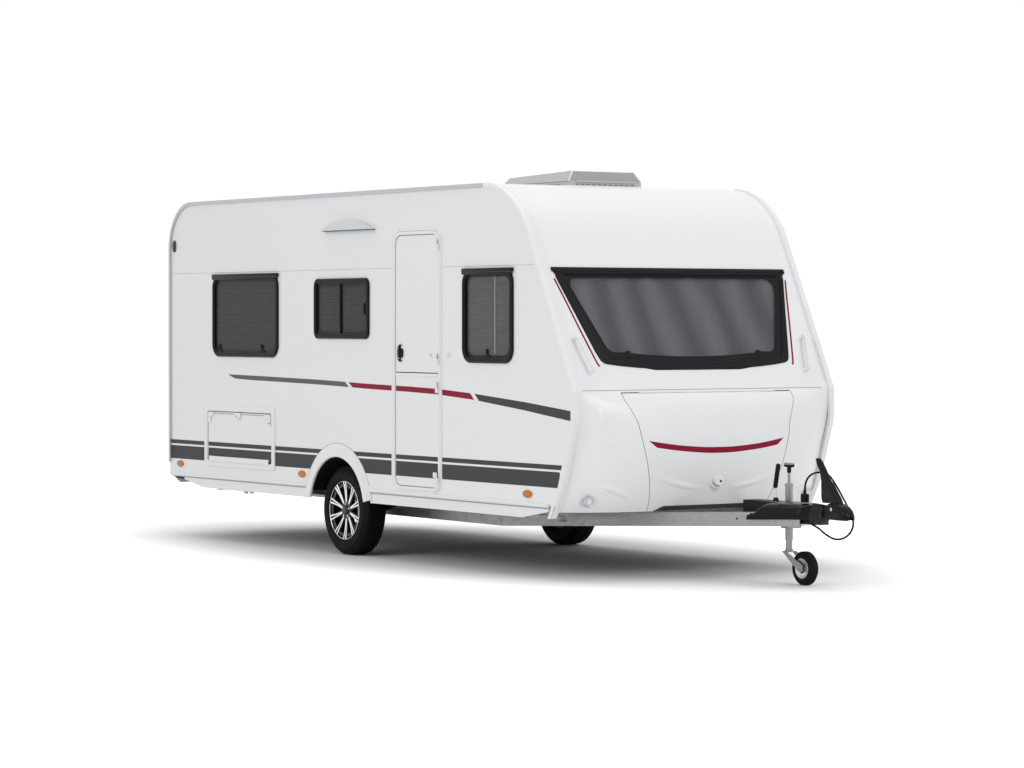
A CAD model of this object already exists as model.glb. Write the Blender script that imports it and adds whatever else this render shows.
import math
import bmesh
import bpy
from mathutils import Matrix, Vector
from mathutils.bvhtree import BVHTree


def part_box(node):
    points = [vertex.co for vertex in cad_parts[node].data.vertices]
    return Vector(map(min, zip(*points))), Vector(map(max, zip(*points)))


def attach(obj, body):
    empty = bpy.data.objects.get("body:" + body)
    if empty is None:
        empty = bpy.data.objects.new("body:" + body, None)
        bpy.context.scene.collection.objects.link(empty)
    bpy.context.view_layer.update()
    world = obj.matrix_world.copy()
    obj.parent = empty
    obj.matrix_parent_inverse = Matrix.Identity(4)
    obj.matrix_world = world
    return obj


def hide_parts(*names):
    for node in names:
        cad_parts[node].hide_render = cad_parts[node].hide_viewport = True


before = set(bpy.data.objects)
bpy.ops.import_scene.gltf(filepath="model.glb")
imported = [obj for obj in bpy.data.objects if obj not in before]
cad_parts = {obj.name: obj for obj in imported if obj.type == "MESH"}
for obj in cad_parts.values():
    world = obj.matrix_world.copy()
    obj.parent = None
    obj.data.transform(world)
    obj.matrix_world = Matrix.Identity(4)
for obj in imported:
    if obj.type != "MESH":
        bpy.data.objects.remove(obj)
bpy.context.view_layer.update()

# Driving places, in metres. The wheel axis is read from the frame: every x given
# below as "from the axle" is added to it.
AXLE_X = (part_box("tyre_right")[0][0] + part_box("tyre_right")[1][0]) / 2
HALF_WIDTH = 1.04
REAR_WALL = -2.535
SIDES = ((-1, "right"), (1, "left"))


def from_axle(x):
    return AXLE_X + x


# Mesh tools


def new_object(name, bm, finish, smooth=None, body="body", slot=None, replaces=None):
    """Turn a bmesh into an object that rides on a body and has its finish.

    smooth is the angle in degrees above which an edge stays sharp; None keeps flat faces."""
    bmesh.ops.recalc_face_normals(bm, faces=bm.faces)
    mesh = bpy.data.meshes.new(name)
    bm.to_mesh(mesh)
    bm.free()
    obj = bpy.data.objects.new(name, mesh)
    bpy.context.scene.collection.objects.link(obj)
    mesh.materials.append(MAT[finish])
    if smooth is not None:
        for poly in mesh.polygons:
            poly.use_smooth = True
        mesh.set_sharp_from_angle(angle=math.radians(smooth))
    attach(obj, body)
    if replaces:
        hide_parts(replaces)


def circle(steps, start=0.0):
    """Cosine and sine at equal steps round a circle."""
    angles = [start + 2 * math.pi * k / steps for k in range(steps)]
    return [(math.cos(a), math.sin(a)) for a in angles]


def tangent(path, i):
    return (path[min(i + 1, len(path) - 1)] - path[max(i - 1, 0)]).normalized()


def corner_points(before, point, after, radius, steps):
    """Points of the arc that rounds one corner of an outline."""
    p = Vector(point)
    a, b = (Vector(before) - p).normalized(), (Vector(after) - p).normalized()
    half = math.acos(max(-1.0, min(1.0, a.dot(b)))) / 2
    reach = radius / math.tan(half)
    centre = p + (a + b).normalized() * (radius / math.sin(half))
    start, end = p + a * reach - centre, p + b * reach - centre
    turn = start.angle_signed(end)
    points = []
    for i in range(steps + 1):
        angle = -turn * i / steps
        c, s = math.cos(angle), math.sin(angle)
        points.append((centre.x + start.x * c - start.y * s, centre.y + start.x * s + start.y * c))
    return points


def rounded(points, radii, steps=8):
    """Closed outline whose corners have the given radii."""
    out = []
    for i, point in enumerate(points):
        if radii[i] > 0:
            out += corner_points(points[i - 1], point, points[(i + 1) % len(points)], radii[i], steps)
        else:
            out.append(tuple(point))
    return out


def rounded_rect(u0, u1, v0, v1, radius, steps=8, inset=0.0):
    """Rectangle with rounded corners, moved inwards by an inset."""
    u0, u1, v0, v1 = u0 + inset, u1 - inset, v0 + inset, v1 - inset
    return rounded([(u0, v0), (u0, v1), (u1, v1), (u1, v0)], [radius] * 4, steps)


def skin(bm, rings, closed=True, loop=False):
    """Quads between rings of points. closed joins each ring's ends, loop the first ring and the last."""
    rows = [[bm.verts.new(p) for p in ring] for ring in rings]
    count = len(rows[0])
    for low, high in zip(rows, rows[1:] + (rows[:1] if loop else [])):
        for i in range(count if closed else count - 1):
            j = (i + 1) % count
            bm.faces.new((low[i], low[j], high[j], high[i]))
    return rows


def loft(bm, rings):
    """Solid through rings of points with equal counts."""
    rows = skin(bm, rings)
    bm.faces.new(rows[0])
    bm.faces.new(list(reversed(rows[-1])))


def shrunk(u, v, middle, amount):
    """A point moved towards the outline's middle by a small amount along each axis."""
    du = max(-amount, min(amount, middle.x - u))
    dv = max(-amount, min(amount, middle.y - v))
    return u + du, v + dv


def plate(bm, outline, place, low, high, bevel=0.0):
    """Flat plate of an outline, its high side with a rounded edge where a bevel is given.

    place(u, v, w) gives the 3-D point; w runs from low to high."""
    rings = [[place(u, v, low) for u, v in outline]]
    middle = Vector((sum(u for u, v in outline), sum(v for u, v in outline))) / len(outline)
    for angle in (0.0, math.pi / 4, math.pi / 2) if bevel else (math.pi / 2,):
        inward, drop = bevel * (1 - math.cos(angle)), bevel * (1 - math.sin(angle))
        rings.append([place(*shrunk(u, v, middle, inward), high - drop) for u, v in outline])
    loft(bm, rings)


def frame_ring(bm, outer, inner, place, profile):
    """Ring between two outlines of equal counts. profile holds (share, w) pairs round
    its section, where share 0 is the outer edge and share 1 the inner edge."""
    skin(bm, [[place(o[0] + (i[0] - o[0]) * share, o[1] + (i[1] - o[1]) * share, w)
               for o, i in zip(outer, inner)] for share, w in profile], loop=True)


def turned(bm, profile, place, steps=48, closed=True):
    """Solid of revolution: profile holds (axial, radius); place(axial, a, b) gives points."""
    skin(bm, [[place(w, r * c, r * s) for w, r in profile] for c, s in circle(steps)], closed, loop=True)


def about_x(x, y, z):
    """Place function for a turned piece whose axis runs along X."""
    return lambda w, a, b: (x + w, y + a, z + b)


def about_y(x, y, z, sign=1):
    return lambda w, a, b: (x + a, y + sign * w, z + b)


def about_z(x, y):
    return lambda w, a, b: (x + a, y + b, w)


def tube(bm, points, radius, steps=12):
    """Round bar along a path of points, kept free of twist."""
    path = [Vector(p) for p in points]
    normal = tangent(path, 0).orthogonal().normalized()
    rings = []
    radii = radius if isinstance(radius, (list, tuple)) else [radius] * len(path)
    for i, (p, r) in enumerate(zip(path, radii)):
        t = tangent(path, i)
        normal = (normal - t * normal.dot(t)).normalized()
        side = t.cross(normal)
        rings.append([p + (normal * c + side * s) * r for c, s in circle(steps)])
    loft(bm, rings)


def smooth_path(points, steps=6):
    """Catmull-Rom curve through points of a plane."""
    pts = [Vector((*p, 0.0)) for p in points]
    out = []
    for i in range(len(pts) - 1):
        p0, p1 = pts[max(i - 1, 0)], pts[i]
        p2, p3 = pts[i + 1], pts[min(i + 2, len(pts) - 1)]
        for k in range(steps):
            t = k / steps
            out.append(0.5 * ((2 * p1) + (p2 - p0) * t + (2 * p0 - 5 * p1 + 4 * p2 - p3) * t * t
                              + (3 * p1 - p0 - 3 * p2 + p3) * t ** 3))
    out.append(pts[-1])
    return out


def box_part(bm, low, high, bevel=0.0):
    """Box from corner to corner with rounded edges."""
    size = Vector(high) - Vector(low)
    middle = (Vector(high) + Vector(low)) / 2
    made = bmesh.ops.create_cube(bm, size=1.0, matrix=Matrix.Translation(middle) @ Matrix.Diagonal(
        (size.x, size.y, size.z, 1.0)))
    if bevel:
        edges = {e for v in made["verts"] for e in v.link_edges}
        bmesh.ops.bevel(bm, geom=list(edges), offset=bevel, segments=2, profile=0.7, affect="EDGES")


def on_side(side):
    """Place function for pieces on a wall: u along it, v up, w outwards. "end" is the rear wall."""
    if side == "end":
        return lambda u, v, w: (from_axle(REAR_WALL) - w, u, v)
    sign = -1 if side == "right" else 1
    return lambda u, v, w: (from_axle(u), sign * (HALF_WIDTH + w), v)


def side_box(bm, side, u0, u1, v0, v1, w0, w1, bevel=0.0):
    """Box on a wall between two places along it, two heights and two depths."""
    place = on_side(side)
    pairs = list(zip(place(u0, v0, w0), place(u1, v1, w1)))
    box_part(bm, [min(pair) for pair in pairs], [max(pair) for pair in pairs], bevel)


def side_knob(bm, side, u, v, w0, w1, radius, steps=20):
    """Round boss on a wall with an eased rim."""
    place = on_side(side)
    ease = min(radius, w1 - w0) * 0.3
    profile = [(w0, 0.0001), (w0, radius), (w1 - ease, radius), (w1, radius - ease), (w1, 0.0001)]
    turned(bm, profile, lambda w, a, b: place(u + a, v + b, w), steps, closed=False)


def wall_piece(name, side, boxes, knobs, *look, **where):
    """Piece of boxes and bosses on a wall, with its finish, smoothing, body and slot."""
    bm = bmesh.new()
    for box in boxes:
        side_box(bm, side, *box)
    for knob in knobs:
        side_knob(bm, side, *knob)
    new_object(name, bm, *look, **where)


def turned_piece(name, profile, place, steps, closed, *look, **where):
    """Piece of one turned form, with its finish, smoothing, body and slot."""
    bm = bmesh.new()
    turned(bm, profile, place, steps, closed)
    new_object(name, bm, *look, **where)


def side_oval(bm, side, u, v, half_u, half_v, sections, steps):
    """Oval on a wall, given as (share of its size, depth) sections."""
    place = on_side(side)
    loft(bm, [[place(u + half_u * share * c, v + half_v * share * s, w) for c, s in circle(steps)]
              for share, w in sections])


# Materials, each built from nodes

BUMP_DEPTH = 0.0004
ROUGH_SPREAD = 0.08
COAT_ROUGHNESS = 0.08
HAZE_LIFT = 1.25


def fill(tree, node, inputs):
    """Give a node's inputs their values, or wire them from another node's output."""
    for key, value in inputs.items():
        if isinstance(value, bpy.types.NodeSocket):
            tree.links.new(value, node.inputs[key])
        else:
            node.inputs[key].default_value = value


def add_node(tree, kind, inputs, **settings):
    node = tree.nodes.new("ShaderNode" + kind)
    for key, value in settings.items():
        setattr(node, key, value)
    fill(tree, node, inputs)
    return node


def node_material(name):
    mat = bpy.data.materials.new(name)
    mat.use_nodes = True
    return mat, mat.node_tree, mat.node_tree.nodes["Principled BSDF"]


def object_place(tree):
    return add_node(tree, "TexCoord", {}).outputs["Object"]


def add_noise(tree, scale, detail=3.0, stretch=(1, 1, 1)):
    """Noise in object space, stretched along an axis where a stretch is given."""
    mapping = add_node(tree, "Mapping", {"Scale": stretch, "Vector": object_place(tree)})
    noise = {"Scale": scale, "Detail": detail, "Vector": mapping.outputs["Vector"]}
    return add_node(tree, "TexNoise", noise).outputs["Fac"]


def add_wave(tree, inputs, **settings):
    return add_node(tree, "TexWave", {**inputs, "Vector": object_place(tree)}, **settings).outputs["Fac"]


def add_range(tree, source, low, high):
    """Value between low and high driven by a texture."""
    limits = {"From Min": 0.3, "From Max": 0.7, "To Min": low, "To Max": high, "Value": source}
    return add_node(tree, "MapRange", limits).outputs["Result"]


def add_tint(tree, source, first, second):
    colours = {"A": (*first, 1.0), "B": (*second, 1.0), "Factor": source}
    return add_node(tree, "Mix", colours, data_type="RGBA").outputs["Result"]


def add_bump(tree, source, strength, distance):
    height = {"Strength": strength, "Distance": distance, "Height": source}
    return add_node(tree, "Bump", height).outputs["Normal"]


def surface(name, colour, rough, metal=0.0, coat=0.0, spread=0.04, patch=3.0, grain=300.0,
            bump=0.05, stretch=(1, 1, 1), specular=0.5):
    """Opaque finish: colour varied in patches, roughness varied, fine bump."""
    mat, tree, bsdf = node_material(name)
    darker = tuple(c * (1 - spread) for c in colour)
    lighter = tuple(min(1.0, c * (1 + spread)) for c in colour)
    fine = add_noise(tree, grain, 5.0, stretch)
    fill(tree, bsdf, {
        "Base Color": add_tint(tree, add_noise(tree, patch, 4.0), darker, lighter),
        "Roughness": add_range(tree, fine, rough * (1 - ROUGH_SPREAD), rough * (1 + ROUGH_SPREAD)),
        "Normal": add_bump(tree, fine, bump, BUMP_DEPTH),
        "Metallic": metal,
        "Coat Weight": coat,
        "Coat Roughness": COAT_ROUGHNESS,
        "Specular IOR Level": specular,
    })
    return mat


def make_galvanised():
    """Zinc coat with its spangle of crystals."""
    mat, tree, bsdf = node_material("galvanised")
    cells = add_node(tree, "TexVoronoi", {"Scale": 55.0, "Vector": object_place(tree)}).outputs["Color"]
    fill(tree, bsdf, {
        "Base Color": add_tint(tree, cells, (0.27, 0.275, 0.28), (0.36, 0.365, 0.37)),
        "Roughness": add_range(tree, cells, 0.32, 0.5),
        "Normal": add_bump(tree, add_noise(tree, 180.0, 4.0), 0.12, 0.0005),
        "Metallic": 0.75,
    })
    return mat


def make_glass(name, tint, alpha):
    """Tinted acrylic sheet: a dark film that still shows what is behind it."""
    mat, tree, bsdf = node_material(name)
    haze = add_noise(tree, 2.5, 3.0)
    fill(tree, bsdf, {
        "Base Color": add_tint(tree, haze, tint, tuple(c * HAZE_LIFT for c in tint)),
        "Roughness": add_range(tree, haze, 0.04, 0.064),
        "Alpha": alpha,
        "Specular IOR Level": 0.3,
    })
    return mat


def make_folds():
    """Thin curtain cloth with broad hanging folds that shade from light to dark."""
    mat, tree, bsdf = node_material("curtain_folds")
    wave = add_wave(tree, {"Scale": 1.05, "Distortion": 4.5, "Detail": 1.5, "Detail Scale": 0.6},
                    bands_direction="Y")
    weave = add_noise(tree, 500.0, 2.0)
    fill(tree, bsdf, {
        "Base Color": add_tint(tree, wave, (0.5, 0.51, 0.56), (0.84, 0.85, 0.9)),
        "Roughness": add_range(tree, weave, 0.82, 0.95),
        "Normal": add_bump(tree, weave, 0.2, BUMP_DEPTH),
    })
    return mat


def make_lens(name, colour):
    """Moulded lamp lens with fine ribs."""
    mat, tree, bsdf = node_material(name)
    ribs = add_wave(tree, {"Scale": 90.0})
    fill(tree, bsdf, {
        "Base Color": add_tint(tree, ribs, tuple(c * 0.75 for c in colour), colour),
        "Roughness": 0.22,
        "Specular IOR Level": 0.35,
        "Normal": add_bump(tree, ribs, 0.25, 0.001),
    })
    return mat


def make_cloth(name, colour, scale):
    """Woven cloth: a wave as bump and shade."""
    mat, tree, bsdf = node_material(name)
    weave = add_wave(tree, {"Scale": scale, "Distortion": 1.5}, bands_direction="Z")
    fill(tree, bsdf, {
        "Base Color": add_tint(tree, weave, tuple(c * 0.8 for c in colour), colour),
        "Roughness": 0.9,
        "Sheen Weight": 0.3,
        "Normal": add_bump(tree, weave, 0.3, 0.001),
    })
    return mat


MAT = {
    "side": surface("side_sheet", (0.84, 0.84, 0.835), 0.3, coat=0.35, spread=0.01, patch=0.7, grain=90,
                    bump=0.02),
    "front": surface("front_gelcoat", (0.86, 0.86, 0.87), 0.36, coat=0.12, spread=0.01, patch=0.7, grain=60,
                     bump=0.01),
    "roof": surface("roof_sheet", (0.8, 0.8, 0.81), 0.35, coat=0.2, spread=0.02, patch=1.5, grain=60,
                    bump=0.02),
    "inside": surface("lining", (0.62, 0.6, 0.56), 0.6, spread=0.03, patch=2.0),
    "floor": surface("sealed_floor", (0.03, 0.03, 0.03), 0.7, spread=0.15, patch=6.0, bump=0.2, specular=0.2),
    "trim": surface("white_moulding", (0.84, 0.84, 0.85), 0.28, coat=0.3, spread=0.01, patch=2.0, bump=0.02),
    "rail": surface("anodised_rail", (0.5, 0.51, 0.53), 0.38, metal=0.85, spread=0.05, patch=8.0,
                    grain=60, stretch=(1, 40, 40)),
    "black_frame": surface("black_moulding", (0.005, 0.006, 0.008), 0.34, spread=0.2, specular=0.15),
    "black_plastic": surface("black_plastic", (0.005, 0.005, 0.006), 0.5, spread=0.25, grain=500, bump=0.2,
                             specular=0.15),
    "rubber": surface("rubber", (0.006, 0.006, 0.006), 0.7, spread=0.3, grain=220, bump=0.2, specular=0.12),
    "tyre": surface("tyre_rubber", (0.006, 0.006, 0.0065), 0.72, spread=0.35, patch=12, grain=260, bump=0.25,
                    specular=0.12),
    "dark_steel": surface("coated_steel", (0.01, 0.01, 0.011), 0.48, metal=0.2, spread=0.3, bump=0.2,
                          specular=0.2),
    "steel": surface("bright_steel", (0.55, 0.56, 0.57), 0.28, metal=0.95, spread=0.06, grain=160),
    "alloy": surface("turned_alloy", (0.74, 0.75, 0.77), 0.24, metal=0.95, grain=140),
    "rim_black": surface("rim_black", (0.006, 0.006, 0.007), 0.28, coat=0.1, spread=0.2, specular=0.25),
    "grey_plastic": surface("grey_plastic", (0.5, 0.5, 0.51), 0.5, spread=0.05, bump=0.1),
    "red": surface("red_film", (0.25, 0.006, 0.028), 0.5, spread=0.05, specular=0.15),
    "dark_grey": surface("dark_grey_film", (0.05, 0.052, 0.056), 0.5, spread=0.08, specular=0.15),
    "mid_grey": surface("mid_grey_film", (0.115, 0.119, 0.123), 0.5, spread=0.05, specular=0.15),
    "gloss_black": surface("gloss_black", (0.004, 0.004, 0.005), 0.24, spread=0.2, grain=400, bump=0.06,
                           specular=0.15),
    "gaiter": surface("gaiter_rubber", (0.005, 0.005, 0.005), 0.38, spread=0.25, grain=260, bump=0.12,
                      specular=0.35),
    "hatch_grey": surface("hatch_grey", (0.36, 0.36, 0.37), 0.4, grain=200),
    "smoke": surface("smoked_lens", (0.03, 0.03, 0.035), 0.3, spread=0.2),
    "folds": make_folds(),
    "voile": surface("voile", (0.93, 0.94, 0.95), 0.9, spread=0.06, patch=5.0, grain=500, bump=0.2,
                     specular=0.1),
    "white_plastic": surface("white_plastic", (0.8, 0.8, 0.8), 0.45, spread=0.02, grain=260),
    "seam": surface("seam_shadow", (0.34, 0.34, 0.35), 0.6, spread=0.05),
    "gap": surface("rubber_gap", (0.03, 0.03, 0.032), 0.7, spread=0.1),
    "galvanised": make_galvanised(),
    "window": make_glass("tinted_acrylic", (0.006, 0.008, 0.009), 0.44),
    "screen": make_glass("front_acrylic", (0.008, 0.01, 0.015), 0.38),
    "orange": make_lens("orange_lens", (0.6, 0.19, 0.004)),
    "red_lens": make_lens("red_lens", (0.45, 0.008, 0.008)),
    "white_lens": make_lens("white_lens", (0.8, 0.82, 0.84)),
    "blind": make_cloth("pleated_blind", (0.34, 0.37, 0.36), 30.0),
}


# Stage: camera at the photograph's place, pale floor, studio light

scene = bpy.context.scene
scene.view_settings.view_transform = "Standard"

CAMERA_AT = Vector((18.3378, -12.2589, 1.6447))
CAMERA_TURN = math.radians(33.39)
CAMERA_LENS = 112.0
CAMERA_SHIFT = -0.063
SENSOR_WIDTH = 36.0
CLIP_END = 200.0
WORLD_COLOUR = (0.96, 0.98, 1.0, 1.0)
WORLD_STRENGTH = 0.6
FLOOR_REACH = 60.0
FLOOR_COLOUR = (0.9, 0.9, 0.9, 1.0)
# The floor's shadow fades into white round an oval about the caravan
FLOOR_FADE_X = 3.6
FLOOR_FADE_Y = 1.6
FLOOR_FADE_SHIFT = 0.12
FLOOR_FADE = {"From Min": 0.75, "From Max": 1.5, "To Min": 0.0, "To Max": 0.6}


def link_object(name, data):
    obj = bpy.data.objects.new(name, data)
    scene.collection.objects.link(obj)
    return obj


def aim(obj, direction):
    obj.rotation_euler = direction.to_track_quat("-Z", "Y").to_euler()


def add_camera():
    data = bpy.data.cameras.new("camera")
    data.sensor_width = SENSOR_WIDTH
    data.lens = CAMERA_LENS
    data.shift_y = CAMERA_SHIFT
    data.clip_end = CLIP_END
    cam = link_object("camera", data)
    cam.location = CAMERA_AT
    aim(cam, Vector((-math.cos(CAMERA_TURN), math.sin(CAMERA_TURN), 0.0)))
    scene.camera = cam


def seen_directly(tree):
    """1 for rays that the camera, a mirror or glass sees, 0 for rays that carry light."""
    path = add_node(tree, "LightPath", {}).outputs
    first = add_node(tree, "Math", {0: path["Is Camera Ray"], 1: path["Is Glossy Ray"]}, operation="MAXIMUM")
    return add_node(tree, "Math", {0: first.outputs[0], 1: path["Is Transmission Ray"]},
                    operation="MAXIMUM").outputs[0]


def add_world():
    world = bpy.data.worlds.new("studio")
    scene.world = world
    world.use_nodes = True
    tree = world.node_tree
    tree.nodes.clear()
    light = add_node(tree, "Background", {"Color": WORLD_COLOUR, "Strength": WORLD_STRENGTH})
    seen = add_node(tree, "Background", {"Color": (1, 1, 1, 1), "Strength": 1.0})
    mix = add_node(tree, "MixShader", {0: seen_directly(tree), 1: light.outputs[0], 2: seen.outputs[0]})
    add_node(tree, "OutputWorld", {"Surface": mix.outputs[0]})


def add_floor():
    bm = bmesh.new()
    corners = [(-1, -1), (1, -1), (1, 1), (-1, 1)]
    bm.faces.new([bm.verts.new((x * FLOOR_REACH, y * FLOOR_REACH, 0.0)) for x, y in corners])
    mesh = bpy.data.meshes.new("floor")
    bm.to_mesh(mesh)
    bm.free()
    floor = link_object("floor", mesh)
    mat, tree, bsdf = node_material("floor")
    mapping = add_node(tree, "Mapping", {"Location": (FLOOR_FADE_SHIFT, 0.0, 0.0),
                                         "Scale": (1 / FLOOR_FADE_X, 1 / FLOOR_FADE_Y, 0.0),
                                         "Vector": object_place(tree)})
    distance = add_node(tree, "VectorMath", {0: mapping.outputs["Vector"]}, operation="LENGTH")
    fade = add_node(tree, "MapRange", {**FLOOR_FADE, "Value": distance.outputs["Value"]},
                    interpolation_type="SMOOTHSTEP")
    glow = add_node(tree, "Math", {0: fade.outputs["Result"], 1: seen_directly(tree)}, operation="MULTIPLY")
    fill(tree, bsdf, {
        "Base Color": FLOOR_COLOUR,
        "Roughness": 1.0,
        "Specular IOR Level": 0.0,
        "Emission Color": (1, 1, 1, 1),
        "Emission Strength": glow.outputs[0],
    })
    mesh.materials.append(mat)


def add_lamp(name, at, towards, size, power):
    data = bpy.data.lights.new(name, "AREA")
    data.shape = "DISK"
    data.size = size
    data.energy = power
    lamp = link_object(name, data)
    lamp.location = at
    aim(lamp, Vector(towards) - Vector(at))


add_camera()
add_world()
add_floor()
add_lamp("key", (13.0, 2.0, 8.0), (1.5, 0.0, 1.0), 6.0, 360.0)
add_lamp("fill", (2.0, -13.0, 7.0), (0.0, 0.0, 1.2), 8.0, 330.0)
add_lamp("top", (0.0, 0.0, 10.0), (0.0, 0.0, 1.0), 8.0, 200.0)


# The cable between car and caravan, parked in its holder

CORD_DIAMETER = 0.012
CORD_POINTS = [
    (3.97, 0.0, 0.39), (4.02, 0.001, 0.378), (4.08, 0.014, 0.335), (4.16, 0.04, 0.3),
    (4.255, 0.06, 0.335), (4.29, 0.075, 0.42), (4.18, 0.09, 0.535), (4.1, 0.072, 0.65),
    (4.05, 0.052, 0.712), (3.965, 0.005, 0.708), (3.925, -0.02, 0.65), (3.925, -0.02, 0.6006),
]


def add_cable():
    curve = bpy.data.curves.new("cable", "CURVE")
    curve.dimensions = "3D"
    curve.bevel_depth = CORD_DIAMETER / 2
    curve.bevel_resolution = 4
    curve.resolution_u = 12
    spline = curve.splines.new("NURBS")
    spline.points.add(len(CORD_POINTS) - 1)
    for point, (x, y, z) in zip(spline.points, CORD_POINTS):
        point.co = (from_axle(x), y, z, 1.0)
    spline.order_u = 3
    spline.use_endpoint_u = True
    curve.materials.append(MAT["rubber"])
    cable = link_object("cable", curve)
    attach(cable, "body")
    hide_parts("connecting_cable")
    x, y, z = CORD_POINTS[0]


add_cable()


# Finish of the CAD solids that show as they are

CAD_FINISH = {
    "side": ("side_wall_right", "side_wall_left", "rear_wall", "door_upper", "door_lower",
             "service_hatch_door"),
    "front": ("front_wall", "nose_panel", "gas_locker_lid"),
    "roof": ("roof_panel",),
    "inside": ("gas_locker_box",),
    "floor": ("floor_panel", "wheel_boxes"),
    "trim": ("corner_trims", "side_skirts", "grab_handles", "rear_bumper", "door_frame",
             "service_hatch_frame", "wheel_arch_trims"),
    "rail": ("awning_rails",),
    "black_frame": ("window_frames", "front_window_frame"),
    "window": ("window_panes",),
    "screen": ("front_window_pane",),
    "blind": ("window_blinds",),
    "grey_plastic": ("roof_hatch_base", "roof_hatch_lid"),
    "orange": ("marker_lamps",),
    "white_lens": ("awning_light", "front_lamps"),
    "red_lens": ("rear_lamps",),
    "galvanised": ("chassis_rail_right", "chassis_rail_left", "chassis_crossmembers", "axle_tube",
                   "jockey_rim", "jockey_clamp", "jockey_outer_tube", "jockey_inner_tube", "jockey_fork",
                   "steady_leg_front_right", "steady_leg_front_left", "steady_leg_rear_right",
                   "steady_leg_rear_left"),
    "dark_steel": ("swing_arms", "overrun_housing"),
    "gloss_black": ("coupling_head", "drawbar_cover"),
    "black_plastic": ("coupling_handle", "handbrake_lever", "connecting_plug"),
    "rubber": ("drawbar_bellows", "jockey_tyre"),
    "tyre": ("tyre_right", "tyre_left"),
    "rim_black": ("rim_right", "rim_left"),
}

for finish_name, node_names in CAD_FINISH.items():
    for node_name in node_names:
        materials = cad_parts[node_name].data.materials
        materials.clear()
        materials.append(MAT[finish_name])


# Printed film on the walls: thin sheets just off the panel they lie on

FILM = 0.0006
STRIPE_STEP = 0.04
# Door and hatch with their frames on the right side: ends from the axle, foot and top
DOOR_BOX = (0.758, 1.354, 0.5, 2.237)
HATCH_BOX = (-1.963, -0.888, 0.55, 1.012)
DOOR_FACE = 0.001
LEAF_INSET = 0.03
HATCH_INSET = 0.056
SPLIT_Z = 1.288
# Front end of the side wall's open face behind the corner trim: (height, place)
SIDE_EDGE = [(0.47, 2.668), (0.58, 2.731), (0.62, 2.749), (0.72, 2.783), (1.0, 2.878),
             (1.05, 2.882), (1.14, 2.882), (1.2, 2.874), (2.1, 2.424)]
ARCH_GAP = ((-0.309, -0.173), (0.309, 0.173))
UPPER_TOP = [(-1.6, 1.2395), (-1.229, 1.235), (-0.753, 1.228), (-0.293, 1.221), (0.042, 1.213),
             (0.396, 1.203), (0.948, 1.194), (1.303, 1.185), (1.75, 1.162), (2.363, 1.119), (2.89, 1.073)]
UPPER_FOOT = [(-1.6, 1.238), (-1.5, 1.2095), (-1.229, 1.202), (-0.753, 1.195), (-0.293, 1.187),
              (0.042, 1.179), (0.396, 1.169), (0.948, 1.158), (1.303, 1.148), (1.75, 1.122), (2.363, 1.066),
              (2.89, 1.01)]


def line_at(line, x):
    """Height of a broken line of (x, z) at one x."""
    if x <= line[0][0]:
        return line[0][1]
    for (x0, z0), (x1, z1) in zip(line, line[1:]):
        if x <= x1:
            return z0 + (z1 - z0) * (x - x0) / (x1 - x0)
    return line[-1][1]


def pair_of(x):
    return x if isinstance(x, tuple) else (x, x)


def middle_of(pair):
    return sum(pair_of(pair)) / 2


def film_strip(name, side, top, foot, x0, x1, body, finish, out=0.0, holes=()):
    """Film between two lines of heights from x0 to x1, left out where a hole lies.

    An end or a hole's edge is one x, or a pair of x at foot and top where it is slanted."""
    place = on_side(side)
    bm = bmesh.new()
    start, end = middle_of(x0), middle_of(x1)
    gaps = [(pair_of(a), pair_of(b)) for a, b in holes]
    cuts = [pair_of(x0), pair_of(x1)]
    cuts += [edge for gap in gaps for edge in gap if start < middle_of(edge) < end]
    count = max(2, int(round((end - start) / STRIPE_STEP)))
    between = [start + (end - start) * i / count for i in range(1, count)]
    cuts += [(x, x) for x in between if all(min(edge) - 0.01 > x or x > max(edge) + 0.01 for edge in cuts)]
    cuts.sort(key=sum)
    rows = []
    for low_x, high_x in cuts:
        low, high = line_at(foot, low_x), line_at(top, high_x)
        rows.append([bm.verts.new(place(x, z, out + w)) for x, z, w in
                     ((low_x, low, 0.0), (low_x, low, FILM), (high_x, high, FILM), (high_x, high, 0.0))])
    spans = []
    for i in range(len(cuts) - 1):
        middle = (sum(cuts[i]) + sum(cuts[i + 1])) / 4
        if not any(middle_of(a) < middle < middle_of(b) for a, b in gaps):
            spans.append(i)
    for i in spans:
        for k in range(4):
            j = (k + 1) % 4
            bm.faces.new((rows[i][k], rows[i][j], rows[i + 1][j], rows[i + 1][k]))
        if i - 1 not in spans:
            bm.faces.new(rows[i])
        if i + 1 not in spans:
            bm.faces.new(list(reversed(rows[i + 1])))
    drop_loose(bm)
    new_object(name, bm, finish, body=body)


def drop_loose(bm):
    bmesh.ops.delete(bm, geom=[v for v in bm.verts if not v.link_faces], context="VERTS")


def split_by_panels(name, side, top, foot, x0, x1, finish, holes=()):
    """One band shared out over wall, door leaf and hatch leaf."""
    on_hatch = line_at(foot, HATCH_BOX[0]) < HATCH_BOX[3]
    panels = [DOOR_BOX[:2], HATCH_BOX[:2]] if on_hatch else [DOOR_BOX[:2]]
    breaks = list(holes) + (panels if side == "right" else [])
    film_strip(f"{name}_wall_{side}", side, top, foot, x0, x1, "body", finish, 0.0, breaks)
    if side == "left":
        return
    leaves = [("door", panel, LEAF_INSET) for panel in panels[:1]]
    leaves += [("hatch", panel, HATCH_INSET) for panel in panels[1:]]
    for leaf, (low, high), inset in leaves:
        start, end = max(middle_of(x0), low + inset), min(middle_of(x1), high - inset)
        if end > start:
            door = "door_upper" if line_at(top, (start + end) / 2) > SPLIT_Z else "door_lower"
            body = door if leaf == "door" else "service_hatch"
            film_strip(f"{name}_{leaf}", side, top, foot, start, end, body, finish, DOOR_FACE)


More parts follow.
